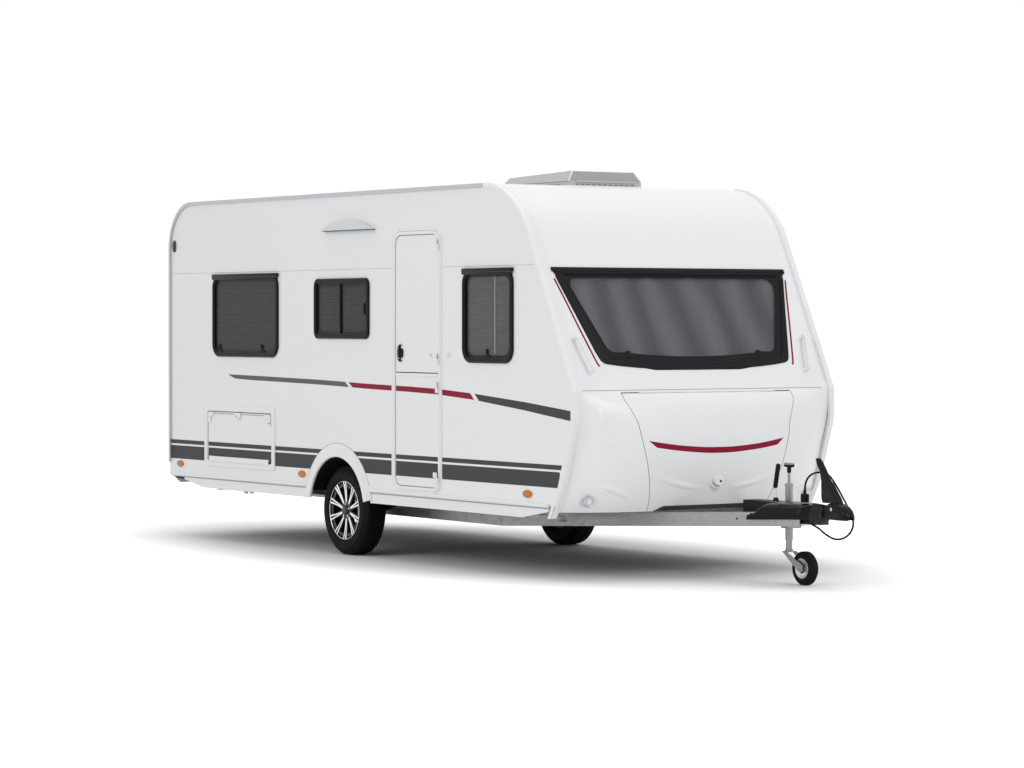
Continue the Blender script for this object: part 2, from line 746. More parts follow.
def add_side_films():
    def edge(z):
        return line_at(SIDE_EDGE, z)

    for _, side in SIDES:
        for name, x0, x1, finish in (("upper_grey", -1.6, (0.155, 0.105), "mid_grey"),
                                     ("upper_red", (0.205, 0.15), (1.765, 1.715), "red"),
                                     ("upper_dark", (1.82, 1.77), edge(1.07), "dark_grey")):
            split_by_panels(name, side, UPPER_TOP, UPPER_FOOT, x0, x1, finish)
        for name, top, foot, end, holes in (("thin_band", 0.732, 0.702, edge(0.717), ()),
                                            ("thick_band", 0.688, 0.588, edge(0.64), [ARCH_GAP])):
            split_by_panels(name, side, [(0.0, top)], [(0.0, foot)], -2.515, end, "dark_grey", holes)


add_side_films()


# Windows: printed edge and stays on the acrylic, rails over the frames, blinds behind

WINDOWS = {
    "rear": (-1.83, -0.838, 1.37, 1.975),
    "sliding": (-0.313, 0.437, 1.51, 1.931),
    "front": (1.634, 2.233, 1.362, 1.973),
    "end": (-0.62, 0.62, 1.42, 1.96),
}
FRAME_WIDTH = 0.034
FRAME_PROUD = 0.012
PANE_OUT = 0.0012
PLEAT_PITCH = 0.02
PLEAT_BACK = -0.0112
PLEAT_DEPTH = 0.0062
STAY_WIDTH = 0.085


def add_pane_edge(key, side):
    """Black print along the edge of an acrylic pane."""
    radius = 0.03 if key == "sliding" else 0.052
    gap = FRAME_WIDTH + 0.0015
    outer = rounded_rect(*WINDOWS[key], radius, inset=gap)
    inner = rounded_rect(*WINDOWS[key], radius, inset=gap + 0.016)
    bm = bmesh.new()
    frame_ring(bm, outer, inner, on_side(side),
               [(0, PANE_OUT), (0, PANE_OUT + 0.0015), (1, PANE_OUT + 0.0015), (1, PANE_OUT)])
    new_object(f"pane_edge_{key}_{side}", bm, "black_frame", 40)


def add_frame_lip(key, side):
    """Rounded outer lip of a window frame, with its rubber groove."""
    radius = 0.06 if key == "sliding" else 0.095
    outer = rounded_rect(*WINDOWS[key], radius, 10, 0.001)
    inner = rounded_rect(*WINDOWS[key], radius - 0.026, 10, 0.027)
    bm = bmesh.new()
    base = FRAME_PROUD + 0.0003
    frame_ring(bm, outer, inner, on_side(side),
               [(share, base + w) for share, w in
                ((0.06, 0.0), (0.16, 0.0035), (0.42, 0.005), (0.62, 0.004), (0.7, 0.0012), (0.8, 0.0012),
                 (0.88, 0.003), (1.0, 0.0))])
    new_object(f"frame_lip_{key}_{side}", bm, "black_frame", 35)


def add_top_rail(key, side):
    """Two-step hinge rail along the top of a top-hung window."""
    u0, u1, _, top = WINDOWS[key]
    wall_piece(f"top_rail_{key}_{side}", side,
               [(u0 + 0.002, u1 - 0.001, top - 0.018, top + 0.005, 0.001, 0.0195, 0.003),
                (u0 + 0.006, u1 - 0.006, top - 0.036, top - 0.02, 0.0135, 0.0195, 0.002)],
               [], "black_frame", 40)
    wall_piece(f"rail_groove_{key}_{side}", side,
               [(u0 + 0.004, u1 - 0.004, top - 0.0215, top - 0.0175, 0.0135, 0.02)], [], "gap", 40)


def add_stay(name, side, u, v):
    """Latch seen through the pane near its foot: base, arm and round knob."""
    half = STAY_WIDTH / 2
    wall_piece(f"stay_{name}", side,
               [(u - half, u + half, v - 0.01, v + 0.006, PANE_OUT, PANE_OUT + 0.006, 0.002),
                (u - 0.012, u + 0.012, v, v + 0.04, PANE_OUT, PANE_OUT + 0.005, 0.002)],
               [(u, v + 0.038, PANE_OUT, PANE_OUT + 0.008, 0.014)], "black_plastic", 40)


def add_pleats(key, side):
    """Pleated blind: a zigzag sheet a little behind the pane. The front side windows have sheer ones."""
    u0, u1, v0, v1 = WINDOWS[key]
    gap = FRAME_WIDTH + 0.004
    place = on_side(side)
    count = int((v1 - v0 - 2 * gap) / PLEAT_PITCH)
    step = (v1 - v0 - 2 * gap) / count
    bm = bmesh.new()
    skin(bm, [[place(u, v0 + gap + i * step / 2, PLEAT_BACK + (PLEAT_DEPTH if i % 2 else 0.0))
               for u in (u0 + gap, u1 - gap)] for i in range(2 * count + 1)], closed=False)
    new_object(f"pleats_{key}_{side}", bm, "voile" if key == "front" else "blind")


def add_side_windows():
    for key, side in (("rear", "right"), ("sliding", "right"), ("front", "right"), ("rear", "left"),
                      ("front", "left"), ("end", "end")):
        add_frame_lip(key, side)
        add_pane_edge(key, side)
        if key != "sliding":
            add_top_rail(key, side)
        add_pleats(key, side)
    for _, side in SIDES:
        add_stay(f"rear_a_{side}", side, -1.725, 1.412)
        add_stay(f"rear_b_{side}", side, -1.086, 1.412)
        add_stay(f"front_a_{side}", side, 1.921, 1.404)
        wall_piece(f"blind_edge_{side}", side, [(1.998, 2.012, 1.422, 1.923, -0.0045, -0.0036)], [],
                   "white_plastic", 40)
    add_stay("end_a", "end", -0.36, 1.462)
    add_stay("end_b", "end", 0.36, 1.462)
    # the sliding half, its upright bar and its pull
    wall_piece("sliding_bar", "right", [(0.03, 0.058, 1.546, 1.895, PANE_OUT, 0.012, 0.003),
                                        (0.36, 0.386, 1.682, 1.756, PANE_OUT, 0.014, 0.004)],
               [], "black_frame", 40)
    wall_piece("sliding_seal", "right", [(0.398, 0.404, 1.56, 1.88, PANE_OUT, 0.006, 0.001)],
               [], "rubber", 40, slot="black_moulding")


add_side_windows()


# Side walls: arch mouldings, skirt ledge, door and hatch fittings, seams and lamps

ARCH_R, ARCH_Z = 0.375, 0.311
ARCH_SECTION = [(0.3755, -0.002), (0.3755, 0.0115), (0.379, 0.015), (0.39, 0.0172), (0.41, 0.0165),
                (0.43, 0.0142), (0.45, 0.0098), (0.464, 0.0048), (0.47, 0.0008), (0.47, -0.002)]
ARCH_JOINT = [(0.4695, -0.0005), (0.4695, 0.0014), (0.4728, 0.0014), (0.4728, -0.0005)]
ARCH_LINER = [(0.3735, -0.3), (0.3735, -0.0005), (0.3749, -0.0005), (0.3749, -0.3)]
LINER_START, LINER_SPAN = math.radians(14), math.radians(146)
LEDGE_Z, LEDGE_RADIUS = 0.472, 0.015
LOCK_U, LOCK_V = 0.851, 1.418
LOCK_HALF_U, LOCK_HALF_V = 0.0305, 0.058
KEY_V = 1.384
MARKERS = ((-2.356, 0.551), (-0.495, 0.547), (2.398, 0.537))


def add_arch(bm, side, section, angles):
    """Ring of a section of (radius, depth) round the wheel arch."""
    place = on_side(side)
    loft(bm, [[place(r * math.cos(a), ARCH_Z + r * math.sin(a), w) for r, w in section] for a in angles])


def arch_angles(foot_z):
    """Angles from one foot of the arch trim over the top to the other, above foot_z."""
    start = math.asin((foot_z - ARCH_Z) / ARCH_R)
    return [start * 0.86 + (math.pi - start * 1.72) * i / 44 for i in range(45)]


def add_arches():
    trims, joints = bmesh.new(), bmesh.new()
    for _, side in SIDES:
        add_arch(trims, side, ARCH_SECTION, arch_angles(0.3995))
        add_arch(joints, side, ARCH_JOINT, arch_angles(0.49))
        liner = bmesh.new()
        add_arch(liner, side, ARCH_LINER, [LINER_START + LINER_SPAN * i / 32 for i in range(33)])
        new_object(f"arch_liner_{side}", liner, "black_plastic", 40)
    new_object("arch_moulding", trims, "trim", 40, replaces="wheel_arch_trims")
    new_object("arch_joint", joints, "seam", 40, slot="white_trim")


def bead(bm, side, u0, u1, v, radius):
    """Half-round level bar on a wall."""
    place = on_side(side)
    arc = [math.pi * k / 8 for k in range(9)]
    loft(bm, [[place(u, v + radius * math.cos(a), radius * math.sin(a) * 0.8) for a in arc]
              for u in (u0, u1)])


def add_ledges():
    """Rounded ledge along the top of each skirt, with the shadow line under it."""
    for _, side in SIDES:
        bm = bmesh.new()
        bead(bm, side, -2.515, -0.434, LEDGE_Z, LEDGE_RADIUS)
        bead(bm, side, 0.434, 2.64, LEDGE_Z, LEDGE_RADIUS)
        new_object(f"skirt_ledge_{side}", bm, "trim", 50)
        wall_piece(f"ledge_shadow_{side}", side, [(-2.5, -0.436, 0.4515, 0.4565, 0.0, 0.0012),
                                                  (0.436, 2.63, 0.4515, 0.4565, 0.0, 0.0012)],
                   [], "seam", slot="white_trim")


def ring_bead(name, box, inset, radius, width, out, height):
    """Rounded frame bead round a rounded rectangle on the right side wall."""
    outer = rounded_rect(*box, radius, inset=inset)
    inner = rounded_rect(*box, max(radius - width, 0.006), inset=inset + width)
    bm = bmesh.new()
    frame_ring(bm, outer, inner, on_side("right"),
               [(0.0, out), (0.06, out + height * 0.6), (0.25, out + height), (0.7, out + height),
                (0.94, out + height * 0.6), (1.0, out)])
    new_object(name, bm, "trim", 40)


def add_door():
    u0, u1, v0, v1 = DOOR_BOX
    ring_bead("door_frame_bead", (u0, u1, v0 + 0.001, v1), -0.02, 0.108, 0.019, 0.0, 0.0095)
    # belt between the leaves, carried by the lower one
    wall_piece("door_belt", "right", [(u0 + 0.03, u1 - 0.03, 1.266, 1.2835, DOOR_FACE, 0.0085, 0.003)],
               [], "trim", 40, "door_lower")
    # oval lock plate with its handle
    bm = bmesh.new()
    place = on_side("right")
    loft(bm, [[place(LOCK_U + LOCK_HALF_U * su * c, LOCK_V + LOCK_HALF_V * sv * s, w) for c, s in circle(40)]
              for su, sv, w in ((1, 1, DOOR_FACE), (1, 1, 0.014), (0.8, 0.86, 0.0168))])
    new_object("door_lock_plate", bm, "black_plastic", 40, "door_upper")
    wall_piece("door_lock_lever", "right", [(0.843, 0.862, 1.4, 1.458, 0.0164, 0.024, 0.004)],
               [(LOCK_U, KEY_V, 0.0164, 0.019, 0.008)], "rim_black", 40, "door_upper", "black_moulding")
    wall_piece("door_lock_key", "right", [], [(LOCK_U, KEY_V, 0.0189, 0.0197, 0.0045)], "steel", 40,
               "door_upper")
    # retainers that hold the open leaf, one half on the leaf and one on the wall
    wall_piece("door_retainer_leaf", "right", [(1.212, 1.246, 1.398, 1.418, DOOR_FACE, 0.014, 0.003)],
               [(1.229, 1.408, 0.013, 0.022, 0.007)], "trim", 40, "door_upper")
    wall_piece("door_retainer_wall", "right", [(1.432, 1.472, 1.398, 1.422, 0.0, 0.012, 0.003)],
               [(1.452, 1.41, 0.011, 0.02, 0.008)], "trim", 40)
    # rubber that shows in the joint round the leaves
    bm = bmesh.new()
    frame_ring(bm, rounded_rect(*DOOR_BOX, 0.068, inset=0.0225), rounded_rect(*DOOR_BOX, 0.063, inset=0.0275),
               on_side("right"), [(0, -0.006), (0, -0.003), (1, -0.003), (1, -0.006)])
    new_object("door_seal", bm, "seam", slot="black_rubber")


def add_hatch():
    ring_bead("hatch_frame_bead", HATCH_BOX, 0.001, 0.03, 0.042, 0.0075, 0.0045)
    wall_piece("hatch_groove", "right", [(-1.84, -1.015, 0.944, 0.949, DOOR_FACE, 0.0028)], [],
               "seam", None, "service_hatch", "white_skin")
    wall_piece("hatch_catches", "right", [(-1.5, -1.416, 0.9, 0.95, DOOR_FACE, 0.01, 0.004),
                                          (-1.902, -1.862, 0.878, 0.95, DOOR_FACE, 0.01, 0.004),
                                          (-0.99, -0.95, 0.878, 0.95, DOOR_FACE, 0.01, 0.004)],
               [(-1.458, 0.934, 0.0095, 0.0165, 0.022)], "trim", 40, "service_hatch")
    wall_piece("hatch_key", "right", [(-0.984, -0.956, 0.89, 0.896, 0.0098, 0.0106)],
               [(-1.458, 0.934, 0.0164, 0.0172, 0.006)], "mid_grey", 40, "service_hatch", "galvanised")


def add_wall_seams():
    """Joint of the side sheets above the windows, and the dark line along its foot."""
    for _, side in SIDES:
        spans = [(-2.49, 0.732), (1.38, 2.47)] if side == "right" else [(-2.49, 2.47)]
        wall_piece(f"wall_joint_{side}", side, [(*span, 1.9935, 1.999, 0.0, 0.0016) for span in spans], [],
                   "side")
        wall_piece(f"wall_joint_line_{side}", side, [(*span, 1.9915, 1.9935, 0.0, 0.0007) for span in spans],
                   [], "seam")


def add_markers():
    """Oval amber side markers on pale bases, and the dark clearance lamps at the rear."""
    lens, base, dark = bmesh.new(), bmesh.new(), bmesh.new()
    for _, side in SIDES:
        for u, v in MARKERS:
            side_oval(lens, side, u, v, 0.054, 0.0245,
                      ((1.0, 0.0), (1.0, 0.0065), (0.94, 0.0095), (0.78, 0.0115), (0.4, 0.012)), 32)
            side_oval(base, side, u, v, 0.063, 0.031, ((1.0, 0.0), (1.0, 0.002), (0.96, 0.0034)), 32)
        side_oval(dark, side, -2.455, 2.201, 0.02, 0.045,
                  ((1.0, 0.0), (1.0, 0.01), (0.85, 0.0155), (0.5, 0.018)), 28)
    new_object("marker_lenses", lens, "orange", 40, replaces="marker_lamps")
    new_object("marker_bases", base, "white_plastic", 40, slot="white_trim")
    new_object("clearance_lamps", dark, "smoke", 40, replaces="marker_lamps")


def add_awning_light_lines():
    """Dark joint under the awning light."""
    wall_piece("awning_light_gasket", "right", [(-0.165, 0.513, 2.26, 2.264, 0.0, 0.03)], [], "mid_grey",
               slot="grey_moulding")


add_arches()
add_ledges()
add_door()
add_hatch()
add_wall_seams()
add_markers()
add_awning_light_lines()


# Front: window with its curtain, red strips, creases of the nose and marks on the lid

SCREEN_TOP, SCREEN_FOOT = 1.965, 1.322
SCREEN_TOP_HALF, SCREEN_FOOT_HALF = 0.93, 0.748
SCREEN_CORNER_Z = 1.368
SCREEN_SAG = 0.043
LID_EDGE = [(0.4, 0.447), (0.54, 0.526), (0.69, 0.571), (0.87, 0.603), (1.08, 0.67), (1.2, 0.67)]
LID_GAP = 0.03
CURTAIN_COLUMNS, CURTAIN_ROWS = 150, 8
RIDGE_STEPS = 8
CREASE = [(0.852, 1.085), (0.846, 1.02), (0.826, 0.93), (0.752, 0.812), (0.642, 0.733), (0.56, 0.697),
          (0.497, 0.67), (0.347, 0.616), (0.215, 0.586), (0.1, 0.572)]
SMILE_TOP = [(0.535, 0.882), (0.331, 0.853), (0.132, 0.837)]
SMILE_FOOT = [(0.48, 0.839), (0.331, 0.818), (0.132, 0.8005)]
SLOT_HALF = 0.415
RED_STRIP = [(0.929, 1.905), (0.889, 1.76), (0.847, 1.6), (0.803, 1.44), (0.782, 1.368), (0.77, 1.35)]
SCOOP_EDGE = [(0.88, 0.606), (0.79, 0.588), (0.706, 0.562), (0.64, 0.53), (0.6, 0.485)]
SCOOP_LINE = [(0.868, 0.59), (0.795, 0.564), (0.716, 0.52)]


def make_tree():
    """Search tree over the outer faces of the front's solids."""
    points, faces = [], []
    for node in ("front_wall", "nose_panel", "gas_locker_lid"):
        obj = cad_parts[node]
        start = len(points)
        points += [obj.matrix_world @ v.co for v in obj.data.vertices]
        faces += [[start + i for i in p.vertices] for p in obj.data.polygons]
    return BVHTree.FromPolygons(points, faces)


FRONT_TREE = make_tree()


def on_front(y, z, out=0.0):
    """Point on the front's skin seen from ahead, moved out along its normal."""
    hit, normal, _, _ = FRONT_TREE.ray_cast(Vector((from_axle(6.0), y, z)), Vector((-1, 0, 0)))
    if hit is None:
        raise ValueError(f"nothing at {y}, {z}")
    return hit + normal * (out if normal.x > 0 else -out)


LOW, HIGH = on_front(0.0, 1.26), on_front(0.0, 2.05)
SCREEN_RUN = (HIGH.x - LOW.x) / (HIGH.z - LOW.z)
SCREEN_NORMAL = Vector((1.0, 0.0, -SCREEN_RUN)).normalized()


def on_screen(y, z, w):
    """Place on the plane of the front window: across, up, out from the wall's face."""
    return Vector((LOW.x + SCREEN_RUN * (z - LOW.z), y, z)) + SCREEN_NORMAL * w


def screen_outline(inset, corner, side):
    """Window outline with a gently curved foot, moved inwards at the top by inset, else by side."""
    top_half, foot_half = SCREEN_TOP_HALF - side, SCREEN_FOOT_HALF - side
    top, corner_z = SCREEN_TOP - inset, SCREEN_CORNER_Z + side * 0.8
    curve = [1 - 2 * k / 12 for k in range(1, 12)]
    points = [(-top_half, top), (top_half, top), (foot_half, corner_z)]
    points += [(foot_half * t, SCREEN_FOOT + side + SCREEN_SAG * abs(t) ** 2.2) for t in curve]
    points.append((-foot_half, corner_z))
    return rounded(points, [corner, corner, corner * 1.25] + [0] * len(curve) + [corner * 1.25])


def add_screen():
    bm = bmesh.new()
    frame_ring(bm, screen_outline(0.0, 0.045, 0.0), screen_outline(0.04, 0.04, 0.046), on_screen,
               [(0, -0.018), (0, 0.003), (0.1, 0.0068), (0.45, 0.0072), (0.6, 0.0058), (0.66, 0.0022),
                (0.76, 0.0022), (0.84, 0.0045), (0.97, 0.003), (1.0, -0.001), (1.0, -0.018)])
    new_object("screen_frame", bm, "black_frame", 35, slot="black_frame", replaces="front_window_frame")
    bm = bmesh.new()
    plate(bm, screen_outline(0.036, 0.04, 0.042), on_screen, -0.005, -0.001)
    new_object("screen_pane", bm, "screen", replaces="front_window_pane")
    bm = bmesh.new()
    frame_ring(bm, screen_outline(0.042, 0.04, 0.047), screen_outline(0.052, 0.055, 0.086), on_screen,
               [(0, -0.0009), (0, 0.0002), (1, 0.0002), (1, -0.0009)])
    new_object("screen_print", bm, "black_frame", 40)
    bm = bmesh.new()
    for z0, z1, w, half in ((1.948, 1.976, 0.0105, 0.934), (1.935, 1.948, 0.0085, 0.92)):
        section = ((z0, 0.001), (z0, w - 0.002), (z0 + 0.003, w), (z1 - 0.005, w), (z1, w - 0.004),
                   (z1, 0.001))
        loft(bm, [[on_screen(y, z, out) for z, out in section] for y in (-half, half)])
    new_object("screen_rail", bm, "black_frame", 40)
    bm = bmesh.new()
    section = ((-0.02, -0.0009), (-0.016, 0.004), (0.016, 0.004), (0.02, -0.0009))
    for y in (-0.52, 0.52):
        loft(bm, [[on_screen(y + a, z, w) for a, w in section] for z in (1.404, 1.444)])
    new_object("screen_stays", bm, "black_plastic", 40)


def add_curtain():
    """Curtain drawn behind the front window, its folds fanning out a little."""
    grid = []
    for i in range(CURTAIN_COLUMNS + 1):
        share = -1 + 2 * i / CURTAIN_COLUMNS
        column = []
        for k in range(CURTAIN_ROWS + 1):
            up = k / CURTAIN_ROWS
            phase = share * 13 + 1.5 * math.sin(share * 3) + 0.5 * up
            w = -0.0245 + 0.015 * (1 - abs(math.sin(phase))) + 0.0012 * math.sin(5.3 * phase)
            z = SCREEN_FOOT + 0.056 + (SCREEN_TOP - SCREEN_FOOT - 0.1) * up
            column.append(on_screen((0.7 + 0.172 * up) * share, z, w))
        grid.append(column)
    bm = bmesh.new()
    skin(bm, grid, closed=False)
    new_object("front_curtain", bm, "folds", 50)


def across_path(path, i):
    """Level direction across a path of (y, z) at one of its points."""
    along = tangent(path, i)
    return Vector((-along.y, along.x, 0.0))


def front_strip(bm, left, right, height):
    """Flat strip on the front's skin between two lines of (y, z)."""
    loft(bm, [[on_front(a[0], a[1]), on_front(a[0], a[1], height), on_front(b[0], b[1], height),
               on_front(b[0], b[1])] for a, b in zip(left, right)])


def ribbon(name, line, width, finish, height=0.0007):
    """Strip of one width laid on the front's skin along a line of (y, z)."""
    path = smooth_path(line)
    sides = [across_path(path, i) * (width / 2) for i in range(len(path))]
    bm = bmesh.new()
    left = [p + side for p, side in zip(path, sides)]
    right = [p - side for p, side in zip(path, sides)]
    front_strip(bm, left, right, height)
    new_object(name, bm, finish)


def ridge(name, line, width, height, body="body"):
    """Soft raised crease along a line of (y, z) on the front's skin, fading out at its ends."""
    path = smooth_path(line)
    grid = []
    for i, p in enumerate(path):
        fade = min(1.0, i / 8, (len(path) - 1 - i) / 8)
        row = []
        for k in range(RIDGE_STEPS + 1):
            share = -1 + 2 * k / RIDGE_STEPS
            q = p + across_path(path, i) * (width / 2 * share)
            lift = height * fade * math.cos(math.pi / 2 * share) ** 2 - 0.0004 * (abs(share) ** 4)
            row.append(on_front(q.x, q.y, lift))
        grid.append(row)
    bm = bmesh.new()
    skin(bm, grid, closed=False)
    new_object(name, bm, "front", 80, body)


def add_nose_lines():
    """Creases shared out at the lid's seam, edges round the lamps and red strips, on both sides."""
    for sign, side in SIDES:
        def mirrored(line):
            return [(sign * y, z) for y, z in line]

        outer = [(y, z) for y, z in CREASE if y > line_at(LID_EDGE, z) + LID_GAP]
        inner = [(y, z) for y, z in CREASE if y < line_at(LID_EDGE, z) - LID_GAP]
        ridge(f"crease_nose_{side}", mirrored(outer), 0.056, 0.01)
        ridge(f"crease_lid_{side}", mirrored(inner), 0.056, 0.01, "gas_locker_lid")
        ridge(f"scoop_edge_{side}", mirrored(SCOOP_EDGE), 0.052, 0.0065)
        ridge(f"scoop_line_{side}", mirrored(SCOOP_LINE), 0.018, 0.003)
        ribbon(f"red_strip_{side}", mirrored(RED_STRIP), 0.013, "red")
    ribbon("nose_seam", [(y, 1.199) for y in (-0.955, -0.5, 0.0, 0.5, 0.955)], 0.004, "seam", 0.0006)


def add_lid_marks():
    def whole(half_line, centre_z):
        left = [(-y, z) for y, z in half_line]
        return smooth_path(left + [(0.0, centre_z)] + half_line[::-1], 5)

    bm = bmesh.new()
    front_strip(bm, whole(SMILE_TOP, 0.8345), whole(SMILE_FOOT, 0.797), 0.0008)
    new_object("smile_strip", bm, "red", None, "gas_locker_lid")
    # dark slot under the lid's raised foot
    across = [-SLOT_HALF + 2 * SLOT_HALF * i / 40 for i in range(41)]
    bm = bmesh.new()
    front_strip(bm, [(y, 0.432) for y in across],
                [(y, 0.433 + 0.031 * min(1.0, (SLOT_HALF - abs(y)) / 0.055)) for y in across], 0.0012)
    new_object("lid_foot_slot", bm, "gap", None, "gas_locker_lid")


add_screen()
add_curtain()
add_nose_lines()
add_lid_marks()


# Road wheels: shaped tyres with tread, polished double spokes over the black rims

WHEEL_FACE = 0.995
WHEEL_RADIUS = 0.311
TYRE_WIDTH = 0.185
TREAD_BASE = WHEEL_RADIUS - 0.0065
TREAD_BLOCKS = 60
SPOKES = 10
BOLTS = 5
BOLT_CIRCLE = 0.045
SIDEWALL = [(-0.02, 0.1868), (-0.013, 0.192), (-0.012, 0.204), (-0.005, 0.214), (-0.0035, 0.2155),
            (-0.0035, 0.2175), (-0.0005, 0.221), (0.0, 0.24), (-0.001, 0.262), (-0.0005, 0.2635),
            (-0.0005, 0.2655), (-0.003, 0.268), (-0.011, 0.286), (-0.022, 0.2985), (-0.026, 0.3045)]
TREAD_LANES = [(-0.157, -0.131), (-0.124, -0.1005), (-0.0845, -0.061), (-0.054, -0.028)]
SPOKE_SECTION = ((-1.0, -0.01), (-1.0, -0.0012), (-0.78, 0.0), (0.78, 0.0), (1.0, -0.0012), (1.0, -0.01))
SPOKE_R0, SPOKE_R1 = 0.034, 0.2


def on_wheel(side):
    """Place function for a wheel: depth outwards from the face, then the two radial ones."""
    sign = -1 if side == "right" else 1
    return about_y(AXLE_X, sign * WHEEL_FACE, WHEEL_RADIUS, sign)


def at_angle(place, w, r, angle):
    return place(w, r * math.cos(angle), r * math.sin(angle))


def add_tyre(side):
    """Carcass with rounded walls, tread blocks in four staggered ribs and blocks down the shoulders."""
    place = on_wheel(side)
    bm = bmesh.new()
    other = [(-TYRE_WIDTH - w, r) for w, r in reversed(SIDEWALL)]
    turned(bm, SIDEWALL + [(-0.04, TREAD_BASE), (-0.145, TREAD_BASE)] + other, place, 96)
    pitch = 2 * math.pi / TREAD_BLOCKS
    span = pitch * 0.82
    for k in range(TREAD_BLOCKS):
        for n, (w0, w1) in enumerate(TREAD_LANES):
            turn = pitch * (k + 0.5 * (n % 2))
            lean = span * (0.35 if n < 2 else -0.35)
            outer_edge = {0: w0, 3: w1}.get(n)
            rings = []
            for r, fall in ((TREAD_BASE - 0.003, 0.0), (WHEEL_RADIUS - 0.0002, 0.0035)):
                rings.append([at_angle(place, w, r - (fall if w == outer_edge else 0.0),
                                       turn + span * share + (lean if w == w1 else 0.0))
                              for w, share in ((w0, 0.0), (w0, 1.0), (w1, 1.0), (w1, 0.0))])
            loft(bm, rings)
        start, end = pitch * k, pitch * (k + 0.66)
        for inner in (False, True):
            rings = []
            for w, r, depth in ((-0.03, 0.3075, 0.006), (-0.0145, 0.2905, 0.005)):
                ring = []
                for angle, out in ((start, -depth), (start, 0.0), (end, 0.0), (end, -depth)):
                    v = w + out * 0.6
                    ring.append(at_angle(place, -TYRE_WIDTH - v if inner else v, r + out, angle))
                rings.append(ring)
            loft(bm, rings)
    new_object(f"tyre_shaped_{side}", bm, "tyre", 30, f"wheel_{side}", replaces=f"tyre_{side}")


def spoke_bar(bm, place, angle, lean):
    """One polished bar from hub to flange, eased along its edges."""
    rings = []
    for t in [i / 6 for i in range(7)]:
        r = SPOKE_R0 + (SPOKE_R1 - SPOKE_R0) * t
        turn = angle + lean * (0.55 + 0.45 * t)
        half = 0.0038 + 0.0022 * t
        out = -0.0245 + 0.0142 * t * t
        c, s = math.cos(turn), math.sin(turn)
        rings.append([place(out + w, r * c - s * half * share, r * s + c * half * share)
                      for share, w in SPOKE_SECTION])
    loft(bm, rings)


def add_rim_face(side):
    """Polished flange, double spokes, cap and bolts, on the black rim solid."""
    place = on_wheel(side)
    body = f"wheel_{side}"
    bm = bmesh.new()
    turned(bm, [(-0.0165, 0.1985), (-0.0095, 0.199), (-0.0075, 0.201), (-0.009, 0.204),
                (-0.0145, 0.2045)], place, 96)
    for k in range(SPOKES):
        for lean in (-0.07, 0.07):
            spoke_bar(bm, place, math.pi / 2 + 2 * math.pi * k / SPOKES, lean)
    new_object(f"rim_polish_{side}", bm, "alloy", 30, body)
    turned_piece(f"hub_cap_{side}", [(-0.0245, 0.0001), (-0.016, 0.0001), (-0.016, 0.024),
                                     (-0.0185, 0.0295), (-0.0245, 0.03)],
                 place, 40, False, "rim_black", 30, body)
    bm = bmesh.new()
    for c, s in circle(BOLTS, math.pi / 2):
        turned(bm, [(-0.0246, 0.0001), (-0.0175, 0.0001), (-0.0175, 0.0068), (-0.019, 0.0082),
                    (-0.0246, 0.0086)],
               lambda w, a, b: place(w, a + BOLT_CIRCLE * c, b + BOLT_CIRCLE * s), 6, closed=False)
    new_object(f"wheel_bolts_{side}", bm, "steel", None, body, "alloy")
    bm = bmesh.new()
    turned(bm, [(-0.04, 0.1655), (-0.03, 0.1655), (-0.0135, 0.199), (-0.0135, 0.203), (-0.034, 0.185)],
           place, 72)
    turned(bm, [(-0.0275, 0.0001), (-0.0235, 0.0001), (-0.0235, 0.056), (-0.0275, 0.061)],
           place, 60, closed=False)
    new_object(f"rim_step_{side}", bm, "rim_black", 30, body)


for _, wheel_side in SIDES:
    add_tyre(wheel_side)
    add_rim_face(wheel_side)


# Drawbar: folded gaiter, head, handle and lever, cover edges and the jockey wheel's fittings

DRAWBAR_Z = 0.462
GAITER_FOLDS = 5
HOOD_STEPS = 20
HEAD_STATIONS = [
    (4.11, 0.035, 0.44, 0.502), (4.125, 0.037, 0.438, 0.512), (4.15, 0.039, 0.436, 0.527),
    (4.18, 0.0415, 0.434, 0.533), (4.22, 0.045, 0.4325, 0.534), (4.26, 0.046, 0.432, 0.531),
    (4.295, 0.046, 0.432, 0.518), (4.32, 0.043, 0.432, 0.498), (4.336, 0.035, 0.432, 0.476),
    (4.344, 0.021, 0.432, 0.456)]
COVER_STATIONS = [
    (3.601, 0.2225, 0.41, 0.464), (3.63, 0.215, 0.411, 0.465), (3.642, 0.212, 0.412, 0.469),
    (3.668, 0.205, 0.413, 0.497), (3.69, 0.199, 0.414, 0.514), (3.715, 0.1925, 0.415, 0.519),
    (3.78, 0.1755, 0.418, 0.5195), (3.85, 0.1575, 0.421, 0.5195), (3.92, 0.139, 0.424, 0.519),
    (3.98, 0.1235, 0.426, 0.517), (3.996, 0.117, 0.426, 0.516), (4.006, 0.098, 0.426, 0.5145),
    (4.018, 0.072, 0.426, 0.512)]
HANDLE_STATIONS = [
    ((4.02, 0.7985), (4.041, 0.8), 0.011), ((4.0185, 0.788), (4.05, 0.792), 0.0155),
    ((4.028, 0.76), (4.072, 0.768), 0.017), ((4.057, 0.715), (4.107, 0.724), 0.017),
    ((4.068, 0.665), (4.143, 0.67), 0.018), ((4.068, 0.63), (4.175, 0.645), 0.0195),
    ((4.068, 0.605), (4.205, 0.609), 0.0195), ((4.068, 0.56), (4.248, 0.56), 0.0198),
    ((4.078, 0.53), (4.264, 0.529), 0.0198)]
JOCKEY_X, JOCKEY_Y = 3.612, 0.105
JOCKEY_WHEEL_X, JOCKEY_WHEEL_Z = 3.772, 0.105
TUBE_ROOM = 0.046
SCREW = [(-0.002, 0.0001), (0.003, 0.0001), (0.003, 0.003), (0.0012, 0.0052), (-0.002, 0.0055)]
LEVER_Y = -0.025
